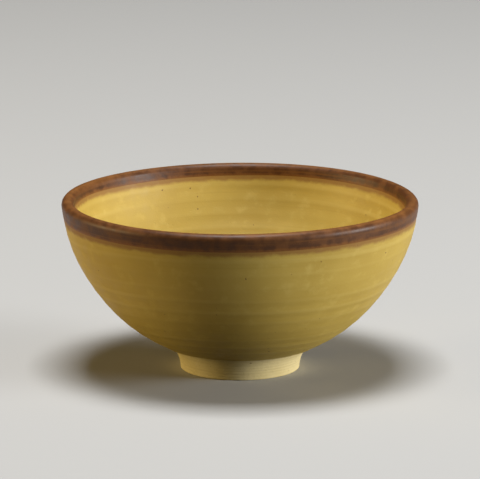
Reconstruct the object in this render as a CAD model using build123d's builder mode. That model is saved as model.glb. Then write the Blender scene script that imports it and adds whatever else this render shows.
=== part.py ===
"""Footed bowl: a thrown clay bowl on a luted foot ring, with ochre slip inside and out
and a brown slip band over the lip.

Millimetres, +Z up. The origin is the middle of the foot, on the surface that the bowl stands on.
Every piece is round about the Z axis, so each one is a half section revolved about it.
"""

import os
from math import acos, asin, atan2, degrees, sqrt

from build123d import *

# Driving dimensions
rim_diameter = 150.0  # across the finished lip, slip included
bowl_height = 73.0  # from the standing surface to the top of the finished lip
lip_thickness = 4.2  # clay at the lip, where the wall is thinnest
belly_level = 3.8  # lowest point of the bowl's rounded outside, had the recess not been turned
floor_thickness = 4.6  # clay at the middle of the floor
foot_diameter = 51.4  # outside of the foot ring where it stands
foot_flare = 3.0  # how far the foot's outer wall spreads out on its way up to the seat
foot_wall = 6.0  # width of the foot ring where it stands, before its edges are bevelled
foot_draft = 1.2  # how far the inside of the foot ring closes in towards the seat
foot_bevel = 1.1  # bevel on both edges of the standing face
recess_rise = 0.9  # how far the turned underside rises from the foot ring to the middle
slip_thickness = 0.4  # ochre and brown slip alike
outer_band_height = 4.6  # brown band outside, measured down from the middle of the lip's round
inner_band_height = 2.4  # brown band inside, measured the same way
bare_margin = 1.8  # bare clay left between the foot ring and the ochre slip

# The lip is rounded over about this point of the half section.
lip_radius = lip_thickness / 2
lip_centre_radius = rim_diameter / 2 - slip_thickness - lip_radius
lip_level = bowl_height - slip_thickness - lip_radius

# The foot ring is luted to the rounded underside of the bowl, between these two radii.
foot_radius = foot_diameter / 2
recess_radius = foot_radius - foot_wall
seat_outer_radius = foot_radius + foot_flare
seat_inner_radius = recess_radius - foot_draft


def centre_height(level):
    """Height of the point on the axis that is as far from the lip's centre as from this level."""
    return (lip_centre_radius**2 + lip_level**2 - level**2) / (2 * (lip_level - level))


# Both faces of the wall are spheres that run smoothly into the lip's round. Each one is given by the
# height of its centre and its radius. The underside is turned away to a dome inside the foot ring.
outer_centre = centre_height(belly_level + lip_radius)
outer_radius = outer_centre - belly_level
seat_inner_level = outer_centre - sqrt(outer_radius**2 - seat_inner_radius**2)
recess_top = seat_inner_level + recess_rise
floor_level = recess_top + floor_thickness
inner_centre = centre_height(floor_level - lip_radius)
inner_radius = inner_centre - floor_level
outer_clay = (outer_centre, outer_radius)
inner_clay = (inner_centre, inner_radius)
outer_slip_face = (outer_centre, outer_radius + slip_thickness)
inner_slip_face = (inner_centre, inner_radius - slip_thickness)

# Places on the spheres are angles in degrees, up from straight below the centre to level with it.
lowest_angle = -90
seat_inner_angle = -degrees(acos(seat_inner_radius / outer_radius))
seat_outer_angle = -degrees(acos(seat_outer_radius / outer_radius))
slip_edge_angle = -degrees(acos((seat_outer_radius + bare_margin) / outer_radius))
outer_band_angle = -degrees(asin((outer_centre - lip_level + outer_band_height) / outer_radius))
inner_band_angle = -degrees(asin((inner_centre - lip_level + inner_band_height) / inner_radius))
outer_lip_angle = -degrees(atan2(outer_centre - lip_level, lip_centre_radius))
inner_lip_angle = -degrees(atan2(inner_centre - lip_level, lip_centre_radius))


def wall_arc(sphere, start_angle, end_angle):
    """Arc on one of the wall's spheres, between two places on it."""
    centre, radius = sphere
    return CenterArc((0, centre), radius, start_angle=start_angle, arc_size=end_angle - start_angle)


def lip_arc(radius):
    """Round over the lip, from the outside of the wall to the inside."""
    arc_size = 180 + inner_lip_angle - outer_lip_angle
    return CenterArc((lip_centre_radius, lip_level), radius, start_angle=outer_lip_angle, arc_size=arc_size)


# Thrown bowl: the wall thins from the hip to a rounded lip
with BuildPart() as bowl_body:
    with BuildSketch(Plane.XZ) as bowl_section:
        with BuildLine() as bowl_outline:
            outside = wall_arc(outer_clay, seat_inner_angle, outer_lip_angle)
            inside = wall_arc(inner_clay, lowest_angle, inner_lip_angle)
            lip_arc(lip_radius)
            underside = TangentArc((0, recess_top), outside @ 0, tangent=(1, 0))
            Line(underside @ 0, inside @ 0)
        make_face()
    revolve(axis=Axis.Z)

# Foot ring: its outer wall rises upright from the standing face and flares out to the seat
with BuildPart() as foot_ring:
    with BuildSketch(Plane.XZ) as foot_section:
        with BuildLine() as foot_outline:
            seat = wall_arc(outer_clay, seat_inner_angle, seat_outer_angle)
            TangentArc((foot_radius, 0), seat @ 1, tangent=(0, 1))
            Polyline((foot_radius, 0), (recess_radius, 0), seat @ 0)
        make_face()
    revolve(axis=Axis.Z)
    standing_face = foot_ring.faces().sort_by(Axis.Z)[0]
    chamfer(standing_face.edges(), length=foot_bevel)

# Ochre slip outside, from just above the foot ring up to the brown band
with BuildPart() as outer_slip:
    with BuildSketch(Plane.XZ) as outer_slip_section:
        with BuildLine() as outer_slip_outline:
            skin = wall_arc(outer_slip_face, slip_edge_angle, outer_band_angle)
            clay = wall_arc(outer_clay, slip_edge_angle, outer_band_angle)
            Line(skin @ 0, clay @ 0)
            Line(skin @ 1, clay @ 1)
        make_face()
    revolve(axis=Axis.Z)

# Ochre slip inside, from the floor up to the brown band
with BuildPart() as inner_slip:
    with BuildSketch(Plane.XZ) as inner_slip_section:
        with BuildLine() as inner_slip_outline:
            skin = wall_arc(inner_slip_face, lowest_angle, inner_band_angle)
            clay = wall_arc(inner_clay, lowest_angle, inner_band_angle)
            Line(skin @ 0, clay @ 0)
            Line(skin @ 1, clay @ 1)
        make_face()
    revolve(axis=Axis.Z)

# Brown slip band, dipped over the lip and down both faces of the wall
with BuildPart() as rim_band:
    with BuildSketch(Plane.XZ) as band_section:
        with BuildLine() as band_outline:
            for skin_sphere, clay_sphere, band_angle, lip_angle in (
                (outer_slip_face, outer_clay, outer_band_angle, outer_lip_angle),
                (inner_slip_face, inner_clay, inner_band_angle, inner_lip_angle),
            ):
                skin = wall_arc(skin_sphere, band_angle, lip_angle)
                clay = wall_arc(clay_sphere, band_angle, lip_angle)
                Line(skin @ 0, clay @ 0)
            lip_arc(lip_radius + slip_thickness)
            lip_arc(lip_radius)
        make_face()
    revolve(axis=Axis.Z)

bowl_body.part.label = "bowl_body"
foot_ring.part.label = "foot_ring"
outer_slip.part.label = "outer_slip"
inner_slip.part.label = "inner_slip"
rim_band.part.label = "rim_band"

os.makedirs("parts", exist_ok=True)
for piece in (bowl_body, foot_ring, outer_slip, inner_slip, rim_band):
    export_step(piece.part, f"parts/{piece.part.label}.step")
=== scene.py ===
"""Footed bowl in satin ochre slip, with a brown slip band over the lip and a bare clay foot.

Every piece is a closed mesh turned about the Z axis, in metres, in the frame of the solids. The
bowl's section is measured on the solids, and the meshes add what the potter's hand leaves on it.
"""

from math import cos, pi, radians, sin, sqrt

import bpy
import numpy as np
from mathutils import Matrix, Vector


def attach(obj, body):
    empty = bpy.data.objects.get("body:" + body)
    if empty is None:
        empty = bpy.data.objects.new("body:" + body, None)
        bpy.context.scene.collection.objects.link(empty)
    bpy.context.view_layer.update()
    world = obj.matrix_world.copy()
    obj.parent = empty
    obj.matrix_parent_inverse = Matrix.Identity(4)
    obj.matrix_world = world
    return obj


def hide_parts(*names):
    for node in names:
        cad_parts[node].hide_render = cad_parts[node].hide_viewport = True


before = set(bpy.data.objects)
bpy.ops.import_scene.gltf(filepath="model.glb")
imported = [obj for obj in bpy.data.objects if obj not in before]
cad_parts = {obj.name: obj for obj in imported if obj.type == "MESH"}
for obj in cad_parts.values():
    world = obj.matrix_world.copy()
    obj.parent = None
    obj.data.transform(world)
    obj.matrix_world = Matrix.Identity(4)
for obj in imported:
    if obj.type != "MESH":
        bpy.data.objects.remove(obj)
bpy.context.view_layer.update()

MM = 0.001

# Fineness of the turned meshes
AROUND = 320  # steps round the axis
SKIN_ROWS = 170  # rows up the visible side of a coat on the wall
SKIN_GATHER = 1.5  # how strongly the outer coat's rows crowd at its lower edge
BAND_ROWS = 22  # rows up each face of the brown band
BAND_GATHER = 1.4  # how strongly these crowd at the band's edges
LIP_ROWS = 30  # rows over the round of the lip
BACK_ROWS = 24  # rows on a side that lies against another piece, or on a stretch of bare clay
FOOT_ROWS = 34  # rows up each wall of the foot ring
ROUND_ROWS = 8  # rows round a softened edge
SHARP_ANGLE = radians(50)  # edges that bend more than this are shaded as sharp

# The map on which a piece's paint is kept when it leaves this scene
PAINT_MAP = "OFBake"
HIDDEN_SHARE = 0.08  # room there for a hidden stretch of the section, as a share of a visible one's

# Throwing ridges, one spiral from the foot to the lip
RIDGE_PITCH = 6.4 * MM  # from one turn of the spiral to the next
RIDGE_HEIGHT = 0.055 * MM
RIDGE_DRIFT = 1.1  # how far the spiral wanders, in radians
RIDGE_CHANGE = 0.3  # share of their height by which the ridges come and go
RIDGE_CHANGE_LENGTH = 4.3 * RIDGE_PITCH  # from one strong ridge to the next
RIDGE_FADE = 9.0 * MM  # they and the swelling are smoothed away over this distance below the lip
RIDGE_CALM = 0.25  # they die out nearer to the axis than this share of the wall's radius

# Slow swelling of the wall
SWELL_HEIGHT = 0.12 * MM
SWELL_LENGTH = 7.5 * RIDGE_PITCH  # up the wall from one swell to the next
SWELL_LOBES = 2  # swells round the bowl
SWELL_DRIFT = 1.5  # how far they wander, in radians
SWELL_START = 0.35  # they start at this share of the wall's radius from the axis
SWELL_FULL = 0.85  # they are full from this share on

# Other marks of the potter's hand
OUT_OF_ROUND = 0.35 * MM  # at the lip
RIM_WAVE = 0.22 * MM  # ups and downs of the lip
BAND_EDGE_WAVE = 0.35 * MM  # where the brown meets the ochre
SLIP_EDGE_WAVE = 0.65 * MM  # where the ochre ends above the foot
EDGE_ROUND = 0.7 * MM  # the coat rounds down to the clay over this distance
BEAD_HEIGHT = 0.16 * MM  # the coat gathers in a bead above its lower edge
BEAD_PLACE = 1.2 * MM
BEAD_WIDTH = 0.9 * MM
BAND_BUILD_UP = 0.07 * MM  # extra thickness of the brown slip over the ochre
BUILD_UP_DISTANCE = 0.5 * MM
TURNING_PITCH = 1.3 * MM  # marks of the turning tool on the foot
TURNING_DEPTH = 0.035 * MM

# Values that the meshes carry for the paint, each with what it is where a piece says nothing else
FAR = 1.0  # a distance to an edge that is nowhere near
MARKS = {
    "along": 0.0,  # distance along the section
    "band_gap": FAR,  # distance to the edge between the brown and the ochre
    "foot_gap": FAR,  # distance above the lower edge of the ochre, negative on the bare clay
    "ridge": 0.0,  # 1 on the crest of a throwing ridge, -1 in the hollow between two
}

# Colours, as red, green and blue
OCHRE = (0.515, 0.362, 0.075)
OCHRE_PALE = (0.59, 0.437, 0.115)
OCHRE_DEEP = (0.442, 0.3, 0.053)
IRON = (0.105, 0.042, 0.014)
BROWN = (0.125, 0.047, 0.0135)
BROWN_DARK = (0.072, 0.027, 0.009)
RUST = (0.215, 0.085, 0.019)
BUFF = (0.6, 0.48, 0.205)
BUFF_PALE = (0.68, 0.56, 0.28)
BUFF_DARK = (0.43, 0.32, 0.125)
CHAFF = (0.66, 0.58, 0.44)

# Specks in the slip and the clay, each one in a cell of its own
SPECK_FINENESS = 2.5  # their outlines are pulled about by noise this many times finer than the cells
SPECK_PULL = 0.5  # and by up to this share of a cell
SPECK_SMALLEST = 0.35  # size of the smallest, beside the largest
SPECK_CORE = 0.5  # a speck has its full strength within this share of its reach

# The camera: a long lens a little above the bowl
CAMERA_DISTANCE = 1.9
CAMERA_ELEVATION = radians(14.1)
CAMERA_AIM_HEIGHT = 54.95 * MM
CAMERA_LENS = 336.0  # millimetres on a 36 mm wide sensor

# The studio: square lamps, a pale floor and a faint light from all round
LAMP_DISTANCE = 2.2
LAMP_SIZE = 0.86
NEUTRAL = (1.0, 1.0, 1.0)
WARM = (1.0, 0.79, 0.41)
FLOOR_REACH = 4.0  # from the middle of the floor to its sides
FLOOR_SEEN = (0.42, 0.42, 0.415)
FLOOR_BOUNCE = (0.1, 0.09, 0.07)
STUDIO = (0.74, 0.73, 0.71)
STUDIO_STRENGTH = 0.03

# Measuring the solids
TOUCH = 0.001 * MM  # places closer than this are the same
LIP_CREST = 1.2 * MM  # the lip's round is measured on this much of its top


def node_rings(node):
    """Distance from the axis and height of every vertex of a solid."""
    points = np.array([vertex.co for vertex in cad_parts[node].data.vertices])
    return np.hypot(points[:, 0], points[:, 1]), points[:, 2]


def circle_of(radii, heights):
    """Centre and radius of the circle on which places of the section lie."""
    sides = np.stack([2 * radii, 2 * heights, np.ones(len(radii))], axis=-1)
    across, up, rest = np.linalg.lstsq(sides, radii**2 + heights**2, rcond=None)[0]
    return across, up, sqrt(rest + across**2 + up**2)


# The bowl's section, measured on the solids
clay_radii, clay_heights = node_rings("bowl_body")
foot_radii, foot_heights = node_rings("foot_ring")
outer_radii, outer_heights = node_rings("outer_slip")
inner_radii, inner_heights = node_rings("inner_slip")
band_radii, _ = node_rings("rim_band")

on_lip = clay_heights > clay_heights.max() - LIP_CREST
LIP_CENTRE, LIP_LEVEL, LIP_ROUND = circle_of(clay_radii[on_lip], clay_heights[on_lip])
SLIP = band_radii.max() - clay_radii.max()
SEAT_OUTER = foot_radii.max()
SEAT_OUTER_LEVEL = foot_heights[foot_radii.argmax()]
SEAT_INNER = foot_radii.min()
RECESS_TOP = clay_heights[clay_radii < MM].min()
STANDING_INNER = foot_radii[foot_heights < TOUCH].min()
STANDING_OUTER = foot_radii[foot_heights < TOUCH].max()
BEVEL = foot_heights[foot_heights > TOUCH].min()

LOWEST = -pi / 2  # angle straight below the centre of a wall's sphere

turns = np.linspace(0, 2 * pi, AROUND, endpoint=False)
ones = np.ones(AROUND)


def wander(seed, waves, reach):
    """A smooth seeded wandering round the bowl, between minus and plus reach."""
    draws = np.random.default_rng(seed)
    total = np.zeros(AROUND)
    for count in range(1, waves + 1):
        total += draws.normal() / count * np.sin(count * turns + draws.uniform(0, 2 * pi))
    return reach * total / np.abs(total).max()


out_of_round = wander(seed=1, waves=3, reach=OUT_OF_ROUND)
rim_wave = wander(seed=2, waves=5, reach=RIM_WAVE)
outer_band_wave = wander(seed=3, waves=14, reach=BAND_EDGE_WAVE)
inner_band_wave = wander(seed=4, waves=14, reach=BAND_EDGE_WAVE)
slip_edge_wave = wander(seed=5, waves=9, reach=SLIP_EDGE_WAVE)
ridge_drift = wander(seed=6, waves=4, reach=RIDGE_DRIFT)
swell_drift = wander(seed=7, waves=3, reach=SWELL_DRIFT)


def ease(share):
    """Smooth step from 0 to 1."""
    share = np.clip(share, 0, 1)
    return share * share * (3 - 2 * share)


class Wall:
    """One face of the clay wall: a sphere, with its throwing ridges.

    Places on it are angles, up from straight below its centre to the lip. The sphere is centred on
    the axis and passes through a low and a high ring, each given by its radius and height.
    """

    def __init__(self, low, high, outward):
        low_radius, low_height = low
        high_radius, high_height = high
        squares = high_radius**2 + high_height**2 - low_radius**2 - low_height**2
        self.centre = squares / (2 * (high_height - low_height))
        self.radius = np.hypot(low_radius, self.centre - low_height)
        self.outward = outward  # 1 where the face looks away from the axis, -1 where it looks inward
        self.lip_angle = -np.arctan2(self.centre - LIP_LEVEL, LIP_CENTRE)

    def angle_at(self, distance):
        """Angle of the ring at a distance from the axis."""
        return -np.arccos(distance / self.radius)

    def below_lip(self, angles):
        """Distance down the wall from the lip."""
        return self.radius * (self.lip_angle - angles)

    def shifted(self, angle, distances):
        """Angles round the bowl, moved up the wall from one angle by distances."""
        return angle + distances / self.radius

    def ridges(self, angles):
        """Throwing ridges between -1 and 1."""
        along = self.below_lip(angles)
        spiral = np.sin(2 * pi * along / RIDGE_PITCH + turns + ridge_drift)
        change = np.sin(2 * pi * along / RIDGE_CHANGE_LENGTH + swell_drift)
        strength = 1 - RIDGE_CHANGE + RIDGE_CHANGE * change
        return spiral * strength * ease(along / RIDGE_FADE) * np.clip(np.cos(angles) / RIDGE_CALM, 0, 1)

    def swell(self, angles):
        """Slow swelling of the wall between -1 and 1."""
        along = self.below_lip(angles)
        from_axis = (np.cos(angles) - SWELL_START) / (SWELL_FULL - SWELL_START)
        fade = np.clip(along / RIDGE_FADE, 0, 1) * np.clip(from_axis, 0, 1)
        return fade * np.sin(2 * pi * along / SWELL_LENGTH + SWELL_LOBES * turns + swell_drift)

    def sheet(self, angles, cover=0.0):
        """Points on the face, or on a coat of a given thickness on it."""
        relief = RIDGE_HEIGHT * self.ridges(angles) + SWELL_HEIGHT * self.swell(angles)
        reach = self.radius + self.outward * (relief + cover)
        radii = np.maximum(reach * np.cos(angles), 0)
        return np.stack([radii, self.centre + reach * np.sin(angles)], axis=-1)


# The edges of the ochre coats on the clay
outer_low = (outer_radii.min(), outer_heights[outer_radii.argmin()])
outer_high = (outer_radii[outer_heights.argmax()], outer_heights.max())
inner_low = (0.0, inner_heights.min())
inner_high = (inner_radii.max(), inner_heights[inner_radii.argmax()])
outer_wall = Wall(outer_low, outer_high, outward=1)
inner_wall = Wall(inner_low, inner_high, outward=-1)

seat_inner_angle = outer_wall.angle_at(SEAT_INNER)
seat_outer_angle = outer_wall.angle_at(SEAT_OUTER)
SEAT_INNER_LEVEL = outer_wall.centre + outer_wall.radius * np.sin(seat_inner_angle)
slip_edge = outer_wall.shifted(outer_wall.angle_at(outer_low[0]), slip_edge_wave)
outer_band_edge = outer_wall.shifted(outer_wall.angle_at(outer_high[0]), outer_band_wave)
inner_band_edge = inner_wall.shifted(inner_wall.angle_at(inner_high[0]), inner_band_wave)


def spread(start, end, rows, gather=1.0):
    """Rows of angles from one edge to another; gather above 1 crowds them at the start."""
    share = np.linspace(0, 1, rows)[:, None] ** gather
    return start + share * (end - start) * ones


def lip_sheet(radius):
    """The round over the lip, from the outside of the wall to the inside, without its two ends."""
    angles = np.linspace(outer_wall.lip_angle, pi + inner_wall.lip_angle, LIP_ROWS)[1:-1, None] * ones
    radii = LIP_CENTRE + radius * np.cos(angles)
    return np.stack([radii, LIP_LEVEL + radius * np.sin(angles)], axis=-1)


def line_sheet(points):
    """Rows that are the same all round, from a list of places in the section."""
    return np.array(points)[:, None, :] * ones[:, None]


def rounded_corner(corner, start, end, radius):
    """Places round a corner of the section, softened between its two straight sides."""
    corner, start, end = (np.array(place) for place in (corner, start, end))
    first = corner + radius * (start - corner) / np.linalg.norm(start - corner)
    last = corner + radius * (end - corner) / np.linalg.norm(end - corner)
    share = np.linspace(0, 1, ROUND_ROWS)[:, None]
    return (1 - share) ** 2 * first + 2 * share * (1 - share) * corner + share**2 * last


def settle(grid):
    """The wet bowl's sag: a little out of round and uneven at the lip, true at the foot."""
    share = np.clip((grid[..., 1] - SEAT_OUTER_LEVEL) / (LIP_LEVEL - SEAT_OUTER_LEVEL), 0, 1) ** 2
    radii = grid[..., 0] * (1 + share * out_of_round / LIP_CENTRE)
    return np.stack([radii, grid[..., 1] + share * rim_wave], axis=-1)


def row_marks(sheets, **known):
    """The marks of each sheet's rows: what is known of them, and else what MARKS says."""
    marks = {}
    for mark, default in MARKS.items():
        values = known.get(mark, {})
        marks[mark] = [
            np.broadcast_to(values.get(name, default), sheet.shape[:2])
            for name, sheet in sheets.items()
        ]
    return marks


def ring_faces(rows, to_axis):
    """Corners of the faces between the rows: quads, or triangles in an end strip that is on the axis."""
    strips = []
    for lower, upper in zip(rows[:-1], rows[1:]):
        strips.append(np.stack([lower, np.roll(lower, -1), np.roll(upper, -1), upper], axis=-1))
    if to_axis:
        strips[0] = strips[0][:, [0, 2, 3]]
        strips[-1] = strips[-1][:, [0, 1, 2]]
    return strips


def paint_disc(grid, sheets, hidden, core):
    """Places of the rows on the paint map: rings that follow the section outward from a core."""
    section = grid.mean(axis=1)
    section = np.concatenate([section, section[:1]])
    shares = [HIDDEN_SHARE if name in hidden else 1.0 for name in sheets]
    room = np.repeat(shares, [len(sheet) for sheet in sheets.values()])
    steps = np.linalg.norm(np.diff(section, axis=0), axis=-1) * np.append(room[1:], HIDDEN_SHARE)
    reach = core + np.append(0, np.cumsum(steps))
    ring = np.stack([np.cos(turns), np.sin(turns)], axis=-1)
    return 0.5 + 0.5 * (reach / reach[-1])[:, None, None] * ring


def turned_mesh(name, sheets, marks, hidden, core=0.0):
    """A closed mesh turned about the axis, from named sheets of rows that follow the section round.

    Marks are values for the vertices, one array of rows for each sheet. Hidden names the sheets that
    lie against another piece, and core is the radius at which the paint map begins.
    """
    grid = settle(np.concatenate(list(sheets.values())))
    radii, heights = grid[..., 0], grid[..., 1]
    points = np.stack([radii * np.cos(turns), radii * np.sin(turns), heights], axis=-1).reshape(-1, 3)

    # A section that starts on the axis ends there too, in one point each; any other closes on itself.
    index = np.arange(len(points)).reshape(-1, AROUND)
    to_axis = bool(radii[0].max() < TOUCH)
    if to_axis:
        index[0] = index[0, 0]
        index[-1] = index[-1, 0]
    else:
        index = np.concatenate([index, index[:1]])
    used, vertices = np.unique(index, return_inverse=True)
    strips = ring_faces(vertices.reshape(index.shape), to_axis)
    faces = [face for strip in strips for face in strip.tolist()]
    mesh = bpy.data.meshes.new(name)
    mesh.from_pydata(points[used].tolist(), [], faces)

    disc = paint_disc(grid, sheets, hidden, core)[: len(index)].reshape(-1, 2)
    spots = ring_faces(np.arange(len(disc)).reshape(index.shape), to_axis)
    corners = disc[np.concatenate([strip.ravel() for strip in spots])]
    mesh.uv_layers.new(name=PAINT_MAP).uv.foreach_set("vector", corners.ravel().astype(np.float32))
    for mark, rows in marks.items():
        values = np.concatenate(rows).ravel()[used]
        mesh.attributes.new(mark, "FLOAT", "POINT").data.foreach_set("value", values.astype(np.float32))
    mesh.polygons.foreach_set("use_smooth", np.ones(len(mesh.polygons), dtype=bool))
    mesh.set_sharp_from_angle(angle=SHARP_ANGLE)
    mesh.update()
    return mesh


def add_object(name, data):
    """A new object in the scene."""
    added = bpy.data.objects.new(name, data)
    bpy.context.scene.collection.objects.link(added)
    return added


def stand_for(node, mesh, material):
    """The mesh as a piece that stands for a solid."""
    mesh.materials.append(material)
    piece = add_object(mesh.name, mesh)
    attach(piece, "root")
    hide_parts(node)


class Paint:
    """A material that is put together from procedural nodes."""

    def __init__(self, name):
        self.material = bpy.data.materials.new(name)
        self.material.use_nodes = True
        self.tree = self.material.node_tree
        self.shader = self.tree.nodes["Principled BSDF"]
        self.position = self.tree.nodes.new("ShaderNodeTexCoord").outputs["Object"]

    def feed(self, socket, value):
        """Link a socket, or set its value; a colour is red, green and blue."""
        if isinstance(value, bpy.types.NodeSocket):
            self.tree.links.new(value, socket)
        elif socket.type == "RGBA":
            socket.default_value = (*value, 1)
        else:
            socket.default_value = value

    def node(self, kind, values, **settings):
        """A new node, with its settings and the values of its named or numbered inputs."""
        node = self.tree.nodes.new(kind)
        for key, value in settings.items():
            setattr(node, key, value)
        for key, value in values.items():
            self.feed(node.inputs[key], value)
        return node

    def mark(self, name):
        """A value that the mesh carries at its vertices."""
        return self.node("ShaderNodeAttribute", {}, attribute_name=name).outputs["Fac"]

    def height(self):
        """Height above the standing surface."""
        return self.node("ShaderNodeSeparateXYZ", {0: self.position}).outputs[2]

    def maths(self, operation, first, second):
        """One step of arithmetic."""
        return self.node("ShaderNodeMath", {0: first, 1: second}, operation=operation).outputs[0]

    def vector(self, operation, first, second):
        """One step of arithmetic on vectors."""
        return self.node("ShaderNodeVectorMath", {0: first, 1: second}, operation=operation).outputs[0]

    def weighted_sum(self, *parts):
        """Sum of values, each with its weight."""
        result = 0.0
        for value, weight in parts:
            values = {0: value, 1: weight, 2: result}
            result = self.node("ShaderNodeMath", values, operation="MULTIPLY_ADD").outputs[0]
        return result

    def between(self, value, start, end, low=0.0, high=1.0):
        """Smooth step of a value, from low at start to high at end."""
        values = {"Value": value, "From Min": start, "From Max": end, "To Min": low, "To Max": high}
        return self.node("ShaderNodeMapRange", values, interpolation_type="SMOOTHSTEP").outputs[0]

    def mix(self, colour, other, share):
        """A colour with a share of another one."""
        # A Mix node has inputs for other kinds of values before those for colours, which are 6 and 7.
        values = {0: share, 6: colour, 7: other}
        return self.node("ShaderNodeMix", values, data_type="RGBA").outputs[2]

    def blend(self, colour, other, value, start, end, strength=1.0):
        """A colour that goes over to another one as a value goes from start to end."""
        return self.mix(colour, other, self.between(value, start, end, high=strength))

    def noise(self, scale, detail=2.0, roughness=0.5, position=None):
        """Noise from 0 to 1; the scale counts its features in a metre."""
        position = self.position if position is None else position
        values = {"Vector": position, "Scale": scale, "Detail": detail, "Roughness": roughness}
        return self.node("ShaderNodeTexNoise", values).outputs[0]

    def streaks(self, around_scale, along_scale):
        """Noise drawn out round the wheel."""
        flat = self.vector("MULTIPLY", self.position, (around_scale, around_scale, 0))
        along = self.maths("MULTIPLY", self.mark("along"), along_scale)
        up = self.node("ShaderNodeCombineXYZ", {2: along}).outputs[0]
        return self.noise(scale=1.0, detail=3.0, roughness=0.55, position=self.vector("ADD", flat, up))

    def specks(self, scale, share, size):
        """Uneven specks: a share of the cells has one, up to a size within its cell."""
        values = {"Vector": self.position, "Scale": SPECK_FINENESS * scale, "Detail": 2.0}
        noise = self.node("ShaderNodeTexNoise", values).outputs["Color"]
        pull = SPECK_PULL / scale
        shift = self.vector("MULTIPLY", noise, (pull, pull, pull))
        ragged = self.vector("ADD", self.position, shift)
        cells = self.node("ShaderNodeTexVoronoi", {"Vector": ragged, "Scale": scale})
        lots = self.node("ShaderNodeSeparateColor", {0: cells.outputs["Color"]})
        chosen = self.maths("LESS_THAN", lots.outputs[0], share)
        reach = self.between(lots.outputs[1], 0.0, 1.0, low=SPECK_SMALLEST * size, high=size)
        dot = self.between(self.maths("DIVIDE", cells.outputs["Distance"], reach), 1.0, SPECK_CORE)
        return self.maths("MULTIPLY", chosen, dot)

    def dotted(self, colour, other, specks, strength):
        """A colour with specks of another one."""
        return self.mix(colour, other, self.maths("MULTIPLY", specks, strength))

    def finish(self, colour, roughness, sheen, relief, relief_height):
        """Wire the colour, the roughness and a fine relief to the shader, and set its sheen."""
        self.feed(self.shader.inputs["Base Color"], colour)
        self.feed(self.shader.inputs["Roughness"], roughness)
        self.feed(self.shader.inputs["Specular IOR Level"], sheen)
        bump = self.node("ShaderNodeBump", {"Height": relief, "Distance": relief_height, "Strength": 1.0})
        self.feed(self.shader.inputs["Normal"], bump.outputs[0])
        return self.material


def ochre_slip():
    """Satin ochre slip, mottled and streaked by the wheel, rusty beside the brown, with iron specks."""
    paint = Paint("ochre slip")
    cloud = paint.noise(scale=24, detail=3.0)
    mottle = paint.noise(scale=190, detail=4.0, roughness=0.6)
    grain = paint.noise(scale=1500)
    streak = paint.streaks(around_scale=10, along_scale=560)
    ridge = paint.mark("ridge")
    ragged_gap = paint.weighted_sum((paint.mark("band_gap"), 1.0), (mottle, -3.0 * MM))
    foot_gap = paint.mark("foot_gap")
    specks = paint.specks(scale=330, share=0.16, size=0.16)
    pits = paint.specks(scale=520, share=0.1, size=0.2)
    colour = paint.blend(OCHRE_DEEP, OCHRE, cloud, start=0.32, end=0.68)
    colour = paint.blend(colour, OCHRE_PALE, mottle, start=0.5, end=0.75, strength=0.55)
    colour = paint.blend(colour, OCHRE_DEEP, streak, start=0.5, end=0.74, strength=0.4)
    colour = paint.blend(colour, OCHRE_PALE, ridge, start=0.2, end=1.0, strength=0.35)
    colour = paint.blend(colour, RUST, ragged_gap, start=1.5 * MM, end=-0.5 * MM, strength=0.75)
    colour = paint.blend(colour, OCHRE_DEEP, foot_gap, start=3.2 * MM, end=0.4 * MM, strength=0.45)
    colour = paint.dotted(colour, IRON, specks, strength=0.75)
    roughness = paint.between(mottle, 0.3, 0.7, low=0.5, high=0.64)
    relief = paint.weighted_sum((grain, 0.5), (mottle, 0.6), (pits, -1.0))
    return paint.finish(colour, roughness, sheen=0.3, relief=relief, relief_height=0.06 * MM)


def brown_slip():
    """Satin iron brown slip, thin and rusty on the crest of the lip and bleeding into the ochre."""
    paint = Paint("brown slip")
    mottle = paint.noise(scale=240, detail=4.0, roughness=0.6)
    grain = paint.noise(scale=1500)
    streak = paint.streaks(around_scale=14, along_scale=620)
    above_lip = paint.weighted_sum((paint.height(), 1.0), (LIP_LEVEL, -1.0), (mottle, 1.1 * MM))
    ragged_gap = paint.weighted_sum((paint.mark("band_gap"), 1.0), (mottle, -2.4 * MM))
    colour = paint.blend(BROWN_DARK, BROWN, mottle, start=0.35, end=0.7)
    colour = paint.blend(colour, RUST, streak, start=0.48, end=0.72, strength=0.45)
    colour = paint.blend(colour, RUST, above_lip, start=2.3 * MM, end=3.4 * MM, strength=0.6)
    colour = paint.blend(colour, RUST, ragged_gap, start=0.5 * MM, end=-1.2 * MM, strength=0.85)
    roughness = paint.between(mottle, 0.3, 0.7, low=0.4, high=0.52)
    relief = paint.weighted_sum((grain, 1.0), (mottle, 1.0))
    return paint.finish(colour, roughness, sheen=0.22, relief=relief, relief_height=0.05 * MM)


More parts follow.
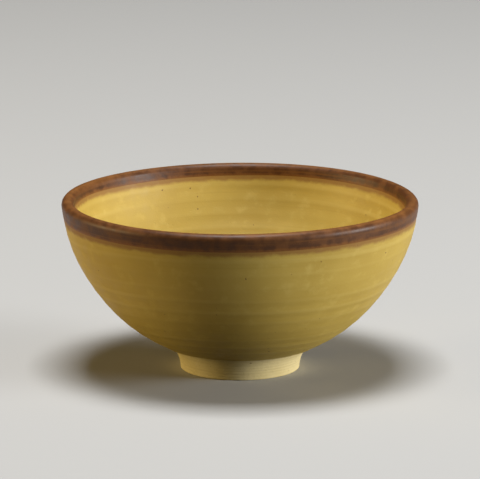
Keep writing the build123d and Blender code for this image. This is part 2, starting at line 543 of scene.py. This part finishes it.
def bare_clay():
    """Gritty buff clay with the turning tool's marks, flashed warm beside the slip."""
    paint = Paint("bare clay")
    cloud = paint.noise(scale=45, detail=3.0)
    grain = paint.noise(scale=900, detail=4.0, roughness=0.65)
    lines = paint.streaks(around_scale=8, along_scale=1100)
    foot_gap = paint.mark("foot_gap")
    grit = paint.specks(scale=420, share=0.2, size=0.2)
    chaff = paint.specks(scale=610, share=0.12, size=0.22)
    colour = paint.blend(BUFF, BUFF_PALE, cloud, start=0.3, end=0.7)
    colour = paint.blend(colour, BUFF_DARK, lines, start=0.5, end=0.75, strength=0.5)
    colour = paint.blend(colour, BUFF_DARK, grain, start=0.55, end=0.75, strength=0.5)
    colour = paint.blend(colour, OCHRE_DEEP, foot_gap, start=-2.2 * MM, end=0.0, strength=0.6)
    colour = paint.dotted(colour, BROWN, grit, strength=0.7)
    colour = paint.dotted(colour, CHAFF, chaff, strength=0.6)
    roughness = paint.between(grain, 0.3, 0.7, low=0.78, high=0.92)
    relief = paint.weighted_sum((grain, 1.0), (lines, 1.4), (grit, 1.0))
    return paint.finish(colour, roughness, sheen=0.15, relief=relief, relief_height=0.09 * MM)


def outer_coat(material):
    """Ochre coat outside: a bead above the bare clay, ridges up the wall, a wavy edge at the band."""
    front = spread(slip_edge, outer_band_edge, SKIN_ROWS, SKIN_GATHER)
    back = spread(outer_band_edge, slip_edge, BACK_ROWS)[:-1]
    below_lip = outer_wall.below_lip(front)
    above_edge = below_lip[0] - below_lip
    rounding = np.clip(above_edge / EDGE_ROUND, 0, 1)
    bead = BEAD_HEIGHT * np.exp(-(((above_edge - BEAD_PLACE) / BEAD_WIDTH) ** 2))
    cover = SLIP * np.sqrt(rounding * (2 - rounding)) + rounding * bead
    sheets = {"back": outer_wall.sheet(back), "front": outer_wall.sheet(front, cover)}
    marks = row_marks(
        sheets,
        along={"back": outer_wall.below_lip(back), "front": below_lip},
        band_gap={"back": 0.0, "front": below_lip - below_lip[-1]},
        foot_gap={"back": 0.0, "front": above_edge},
        ridge={"front": outer_wall.ridges(front)},
    )
    mesh = turned_mesh("outer_coat", sheets, marks, hidden=["back"], core=SEAT_OUTER)
    stand_for("outer_slip", mesh, material)


def inner_coat(material):
    """Ochre coat inside, from the middle of the floor up to the band."""
    front = spread(LOWEST, inner_band_edge, SKIN_ROWS)
    back = spread(inner_band_edge, LOWEST, BACK_ROWS)
    below_lip = inner_wall.below_lip(front)
    sheets = {"front": inner_wall.sheet(front, SLIP), "back": inner_wall.sheet(back)}
    marks = row_marks(
        sheets,
        along={"front": below_lip, "back": inner_wall.below_lip(back)},
        band_gap={"front": below_lip - below_lip[-1], "back": 0.0},
        ridge={"front": inner_wall.ridges(front)},
    )
    mesh = turned_mesh("inner_coat", sheets, marks, hidden=["back"])
    stand_for("inner_slip", mesh, material)


def band_cover(gap):
    """Thickness of the brown slip at a distance from its edge."""
    return SLIP + BAND_BUILD_UP * (1 - np.exp(-gap / BUILD_UP_DISTANCE))


def lip_band(material):
    """Brown band over the lip, a little thicker than the ochre that it meets."""
    outside = spread(outer_band_edge, outer_wall.lip_angle, BAND_ROWS, BAND_GATHER)
    inside = spread(inner_band_edge, inner_wall.lip_angle, BAND_ROWS, BAND_GATHER)[::-1]
    outer_gap = outer_wall.below_lip(outside[0]) - outer_wall.below_lip(outside)
    inner_gap = inner_wall.below_lip(inside[-1]) - inner_wall.below_lip(inside)
    sheets = {
        "inside_back": inner_wall.sheet(inside[::-1]),
        "lip_back": lip_sheet(LIP_ROUND)[::-1],
        "outside_back": outer_wall.sheet(outside[::-1]),
        "outside": outer_wall.sheet(outside, band_cover(outer_gap)),
        "lip": lip_sheet(LIP_ROUND + SLIP + BAND_BUILD_UP),
        "inside": inner_wall.sheet(inside, band_cover(inner_gap)),
    }
    backs = ["inside_back", "lip_back", "outside_back"]
    marks = row_marks(
        sheets,
        along={"outside": outer_wall.below_lip(outside), "inside": inner_wall.below_lip(inside)},
        band_gap={**dict.fromkeys(backs, 0.0), "outside": outer_gap, "inside": inner_gap},
    )
    mesh = turned_mesh("lip_band", sheets, marks, hidden=backs, core=LIP_CENTRE / 2)
    stand_for("rim_band", mesh, material)


def bowl_wall(material):
    """Thrown clay wall: bare inside the foot ring and just above it, covered everywhere else."""
    dome = np.linspace(0, 1, BACK_ROWS)[:, None] * ones
    dome_heights = RECESS_TOP + (SEAT_INNER_LEVEL - RECESS_TOP) * dome**2
    margin = spread(seat_outer_angle, slip_edge, BACK_ROWS)[1:]
    sheets = {
        "recess": np.stack([SEAT_INNER * dome, dome_heights], axis=-1),
        "seat": outer_wall.sheet(spread(seat_inner_angle, seat_outer_angle, BACK_ROWS)[1:]),
        "margin": outer_wall.sheet(margin),
        "covered": outer_wall.sheet(spread(slip_edge, outer_wall.lip_angle, 2 * BACK_ROWS)[1:]),
        "lip": lip_sheet(LIP_ROUND),
        "inside": inner_wall.sheet(spread(inner_wall.lip_angle, LOWEST, 3 * BACK_ROWS)),
    }
    below_edge = outer_wall.below_lip(slip_edge) - outer_wall.below_lip(margin)
    marks = row_marks(
        sheets,
        along={"recess": SEAT_INNER * dome, "margin": outer_wall.below_lip(margin)},
        foot_gap={"recess": -FAR, "seat": -FAR, "margin": below_edge},
    )
    mesh = turned_mesh("bowl_wall", sheets, marks, hidden=["seat", "covered", "lip", "inside"])
    stand_for("bowl_body", mesh, material)


def foot(material):
    """Foot ring: softened standing edges and the marks of the turning tool."""
    foot_radius = STANDING_OUTER + BEVEL
    recess_radius = STANDING_INNER - BEVEL
    flare = SEAT_OUTER - foot_radius
    flare_round = (flare**2 + SEAT_OUTER_LEVEL**2) / (2 * flare)
    heights = np.linspace(BEVEL, SEAT_OUTER_LEVEL, FOOT_ROWS)[:, None] * ones
    fade = np.clip((SEAT_OUTER_LEVEL - heights) / BEVEL, 0, 1) * np.clip((heights - BEVEL) / BEVEL, 0, 1)
    tool = TURNING_DEPTH * fade * np.sin(2 * pi * heights / TURNING_PITCH + turns + ridge_drift)
    radii = foot_radius + flare_round - np.sqrt(flare_round**2 - heights**2)
    draft = (recess_radius - SEAT_INNER) / SEAT_INNER_LEVEL
    heights_down = np.linspace(SEAT_INNER_LEVEL, BEVEL, FOOT_ROWS)[1:]
    inside = [(recess_radius - draft * height, height) for height in heights_down]
    inner_edge = rounded_corner((recess_radius, 0), (recess_radius, BEVEL), (STANDING_INNER, 0), BEVEL)
    outer_edge = rounded_corner((foot_radius, 0), (STANDING_OUTER, 0), (foot_radius, BEVEL), BEVEL)
    sheets = {
        "seat": outer_wall.sheet(spread(seat_outer_angle, seat_inner_angle, BACK_ROWS)[1:]),
        "inside": line_sheet(inside),
        "inner_edge": line_sheet(inner_edge[1:]),
        "outer_edge": line_sheet(outer_edge[:-1]),
        "outside": np.stack([radii + tool, heights], axis=-1),
    }
    marks = row_marks(
        sheets,
        along={name: sheet[..., 1] for name, sheet in sheets.items()},
        foot_gap=dict.fromkeys(sheets, -FAR),
    )
    mesh = turned_mesh("foot", sheets, marks, hidden=["seat"], core=SEAT_INNER / 2)
    stand_for("foot_ring", mesh, material)


ochre = ochre_slip()
brown = brown_slip()
clay = bare_clay()
outer_coat(ochre)
inner_coat(ochre)
lip_band(brown)
bowl_wall(clay)
foot(clay)


def soft_box(name, azimuth, elevation, power, colour):
    """A square lamp aimed at the bowl. Azimuth is measured from the camera's side towards the right."""
    data = bpy.data.lights.new(name, "AREA")
    data.size = LAMP_SIZE
    data.energy = power
    data.color = colour
    lamp = add_object(name, data)
    way = Vector((sin(azimuth) * cos(elevation), -cos(azimuth) * cos(elevation), sin(elevation)))
    lamp.location = LAMP_DISTANCE * way + Vector((0, 0, LIP_LEVEL / 2))
    lamp.rotation_euler = way.to_track_quat("Z", "Y").to_euler()


soft_box("key", azimuth=radians(78), elevation=radians(10), power=62.0, colour=NEUTRAL)
soft_box("fill", azimuth=radians(-91), elevation=radians(8), power=35.0, colour=WARM)
soft_box("top", azimuth=0.0, elevation=radians(89), power=63.0, colour=NEUTRAL)


def studio():
    """Faint light from all round."""
    world = bpy.data.worlds.new("studio")
    world.use_nodes = True
    background = world.node_tree.nodes["Background"]
    background.inputs["Color"].default_value = (*STUDIO, 1)
    background.inputs["Strength"].default_value = STUDIO_STRENGTH
    bpy.context.scene.world = world


def seen_directly(paint):
    """1 for what the camera sees itself, in a reflection or through glass, 0 for light that bounces."""
    rays = paint.node("ShaderNodeLightPath", {}).outputs
    in_another = paint.maths("MAXIMUM", rays["Is Glossy Ray"], rays["Is Transmission Ray"])
    return paint.maths("MAXIMUM", rays["Is Camera Ray"], in_another)


def floor_paint():
    """Pale to the camera, darker to the light that it would throw back up at the bowl."""
    paint = Paint("pale floor")
    colour = paint.mix(FLOOR_BOUNCE, FLOOR_SEEN, seen_directly(paint))
    paint.feed(paint.shader.inputs["Base Color"], colour)
    paint.feed(paint.shader.inputs["Roughness"], 1.0)
    paint.feed(paint.shader.inputs["Specular IOR Level"], 0.0)
    return paint.material


def floor():
    """A plain square floor under the bowl."""
    corners = ((-1, -1), (1, -1), (1, 1), (-1, 1))
    mesh = bpy.data.meshes.new("floor")
    mesh.from_pydata([(FLOOR_REACH * x, FLOOR_REACH * y, 0) for x, y in corners], [], [(0, 1, 2, 3)])
    mesh.materials.append(floor_paint())
    add_object("floor", mesh)


def camera():
    """A camera in front of the bowl and a little above it."""
    data = bpy.data.cameras.new("camera")
    data.lens = CAMERA_LENS
    placed = add_object("camera", data)
    placed.location = CAMERA_DISTANCE * Vector((0, -cos(CAMERA_ELEVATION), sin(CAMERA_ELEVATION)))
    to_aim = Vector((0, 0, CAMERA_AIM_HEIGHT)) - placed.location
    placed.rotation_euler = to_aim.to_track_quat("-Z", "Y").to_euler()
    bpy.context.scene.camera = placed


studio()
floor()
camera()
bpy.context.scene.view_settings.view_transform = "Standard"
